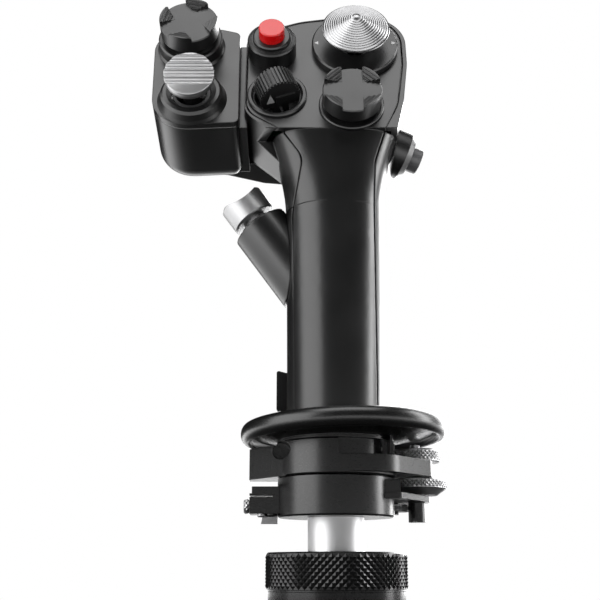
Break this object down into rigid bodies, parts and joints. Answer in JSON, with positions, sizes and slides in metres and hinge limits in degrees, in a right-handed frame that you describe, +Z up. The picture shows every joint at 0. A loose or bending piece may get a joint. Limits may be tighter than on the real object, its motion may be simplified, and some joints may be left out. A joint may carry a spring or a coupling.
{
  "type": "joystick grip",
  "caption": "Flight joystick grip on a metal shaft, with hats, buttons, trigger, paddle, adjustable hand rest and a knurled coupling nut.",
  "frame": {"origin": "centre of the coupling nut's lower face, on the shaft's axis", "axes": "+Z up the shaft, -Y towards the pilot, +X to the pilot's right"},
  "size_m": [0.1228, 0.0818, 0.2544],
  "materials": {
    "black_body": "satin black moulded nylon shell",
    "black_metal": "satin black anodised aluminium",
    "black_controls": "fine matt black",
    "black_knurled": "black anodised, diamond knurl",
    "bright_aluminium": "bead-blasted, clear anodised",
    "steel": "nickel plated, fine diamond knurl",
    "red_cap": "gloss red",
    "inner_plastic": "plain moulded",
    "circuit_board": "solder mask over glass laminate",
    "contact_metal": "gold plated"
  },
  "bodies": {
    "grip": {"bridge_housing": "black_body", "case_screws": "steel", "castle_hat_bezel": "black_controls", "castle_hat_housing": "inner_plastic", "clamp_block": "black_metal", "clamp_collar": "black_metal", "connector_body": "inner_plastic", "connector_contacts": "contact_metal", "front_plate": "black_body", "handle_core": "inner_plastic", "height_stud": "steel", "index_tab": "steel", "left_shell": "black_body", "main_circuit_board": "circuit_board", "mode_switch_bezel": "black_controls", "mode_switch_housing": "inner_plastic", "paddle_bracket": "black_metal", "paddle_pin": "steel", "pod_cover": "black_body", "pod_hat_boss": "black_body", "pod_hat_housing": "inner_plastic", "pod_shell": "black_body", "red_button_bezel": "black_controls", "red_button_switch": "inner_plastic", "right_shell": "black_body", "shaft_tube": "bright_aluminium", "side_barrel": "black_body", "side_barrel_band": "black_controls", "side_barrel_switch": "inner_plastic", "side_button_bezel": "black_controls", "side_button_switch": "inner_plastic", "stud_bracket": "black_metal", "thumb_switch_boss": "black_body", "thumb_switch_housing": "inner_plastic", "trigger_housing": "black_body", "trigger_pin": "steel", "trim_hat_housing": "inner_plastic", "trim_hat_label_ring": "black_controls"},
    "coupling_nut": {"coupling_nut": "black_knurled"},
    "rest_carriage": {"rest_carrier": "black_metal", "hand_rest": "black_metal"},
    "lower_nut": {"lower_height_nut": "steel"},
    "upper_nut": {"upper_height_nut": "steel"},
    "clamp_screw": {"clamp_block_screw": "steel"},
    "bracket_wheel": {"bracket_nut": "steel"},
    "red_button": {"red_button_cap": "red_cap"},
    "trim_rocker": {"trim_hat_gimbal_ring": "inner_plastic"},
    "trim_hat": {"trim_hat_stem": "black_controls", "trim_hat_cap": "bright_aluminium"},
    "castle_rocker": {"castle_hat_gimbal_ring": "inner_plastic"},
    "castle_hat": {"castle_hat_cap": "black_controls"},
    "pod_rocker": {"pod_hat_gimbal_ring": "inner_plastic"},
    "pod_hat": {"pod_hat_cap": "black_controls"},
    "thumb_switch": {"thumb_switch_cap": "bright_aluminium", "thumb_switch_stem": "black_controls"},
    "mode_switch": {"mode_switch_drum": "black_controls"},
    "barrel_button": {"side_barrel_button": "bright_aluminium"},
    "side_button": {"side_button_cap": "black_controls"},
    "trigger": {"trigger": "black_controls"},
    "paddle": {"paddle_lever": "black_metal"}
  },
  "joints": [
    {"name": "coupling_spin", "type": "hinge", "parent": "grip", "child": "coupling_nut", "pos_m": [0, 0, 0.012], "axis": [0, 0, 1], "continuous": true},
    {"name": "lower_nut_spin", "type": "hinge", "parent": "rest_carriage", "child": "lower_nut", "pos_m": [0.0333, 0.0152, 0.05], "axis": [0, 0, 1], "range_deg": [0, 2700]},
    {"name": "upper_nut_spin", "type": "hinge", "parent": "rest_carriage", "child": "upper_nut", "pos_m": [0.0333, 0.0152, 0.061], "axis": [0, 0, 1], "range_deg": [0, 2700]},
    {"name": "rest_slide", "type": "slide", "parent": "grip", "child": "rest_carriage", "axis": [0, 0, 1], "range_m": [0, 0.00602]},
    {"name": "clamp_screw_spin", "type": "hinge", "parent": "grip", "child": "clamp_screw", "pos_m": [-0.035, 0.001, 0.0404], "axis": [1, 0, 0], "range_deg": [0, 720]},
    {"name": "bracket_nut_spin", "type": "hinge", "parent": "grip", "child": "bracket_wheel", "pos_m": [0.025, 0.021, 0.0408], "axis": [0, 0, 1], "range_deg": [0, 720]},
    {"name": "red_button_press", "type": "slide", "parent": "grip", "child": "red_button", "axis": [0, 0.9511, -0.309], "range_m": [0, 0.0025], "stiffness_N_per_m": 500},
    {"name": "trim_fore_aft", "type": "hinge", "parent": "grip", "child": "trim_rocker", "pos_m": [0.0097, -0.00508, 0.23473], "axis": [1, 0, 0], "range_deg": [-8, 8], "stiffness_Nm_per_rad": 0.06},
    {"name": "trim_left_right", "type": "hinge", "parent": "trim_rocker", "child": "trim_hat", "pos_m": [0.0097, -0.00508, 0.23473], "axis": [0, 0.309, 0.9511], "range_deg": [-8, 8], "stiffness_Nm_per_rad": 0.06},
    {"name": "castle_fore_aft", "type": "hinge", "parent": "grip", "child": "castle_rocker", "pos_m": [0.0074, -0.01476, 0.2017], "axis": [1, 0, 0], "range_deg": [-6, 6], "stiffness_Nm_per_rad": 0.06},
    {"name": "castle_left_right", "type": "hinge", "parent": "castle_rocker", "child": "castle_hat", "pos_m": [0.0074, -0.01476, 0.2017], "axis": [0, 0.309, 0.9511], "range_deg": [-6, 6], "stiffness_Nm_per_rad": 0.06},
    {"name": "pod_fore_aft", "type": "hinge", "parent": "grip", "child": "pod_rocker", "pos_m": [-0.061, -0.00883, 0.23616], "axis": [1, 0, 0], "range_deg": [-6, 6], "stiffness_Nm_per_rad": 0.06},
    {"name": "pod_left_right", "type": "hinge", "parent": "pod_rocker", "child": "pod_hat", "pos_m": [-0.061, -0.00883, 0.23616], "axis": [0, 0.309, 0.9511], "range_deg": [-6, 6], "stiffness_Nm_per_rad": 0.06},
    {"name": "thumb_switch_rock", "type": "hinge", "parent": "grip", "child": "thumb_switch", "pos_m": [-0.0591, -0.0179, 0.20661], "axis": [1, 0, 0], "range_deg": [-10, 10], "stiffness_Nm_per_rad": 0.06},
    {"name": "mode_switch_rock", "type": "hinge", "parent": "grip", "child": "mode_switch", "pos_m": [-0.0236, -0.01354, 0.20741], "axis": [-0.342, 0.2904, 0.8937], "range_deg": [-5, 5], "stiffness_Nm_per_rad": 0.04},
    {"name": "barrel_button_press", "type": "slide", "parent": "grip", "child": "barrel_button", "axis": [0.583, -0.05, -0.811], "range_m": [0, 0.002], "stiffness_N_per_m": 600},
    {"name": "side_button_press", "type": "slide", "parent": "grip", "child": "side_button", "axis": [-0.9249, -0.18, 0.335], "range_m": [0, 0.0015], "stiffness_N_per_m": 500},
    {"name": "trigger_pull", "type": "hinge", "parent": "grip", "child": "trigger", "pos_m": [0, 0.0276, 0.186], "axis": [-1, 0, 0], "range_deg": [0, 12], "stiffness_Nm_per_rad": 0.35},
    {"name": "paddle_pull", "type": "hinge", "parent": "grip", "child": "paddle", "pos_m": [0, 0.028, 0.0825], "axis": [1, 0, 0], "range_deg": [0, 7], "stiffness_Nm_per_rad": 0.35}
  ],
  "couplings": [
    {"joint": "upper_nut_spin", "follows": "lower_nut_spin", "ratio": 1},
    {"joint": "rest_slide", "follows": "lower_nut_spin", "m_per_rad": 0.00012732}
  ]
}
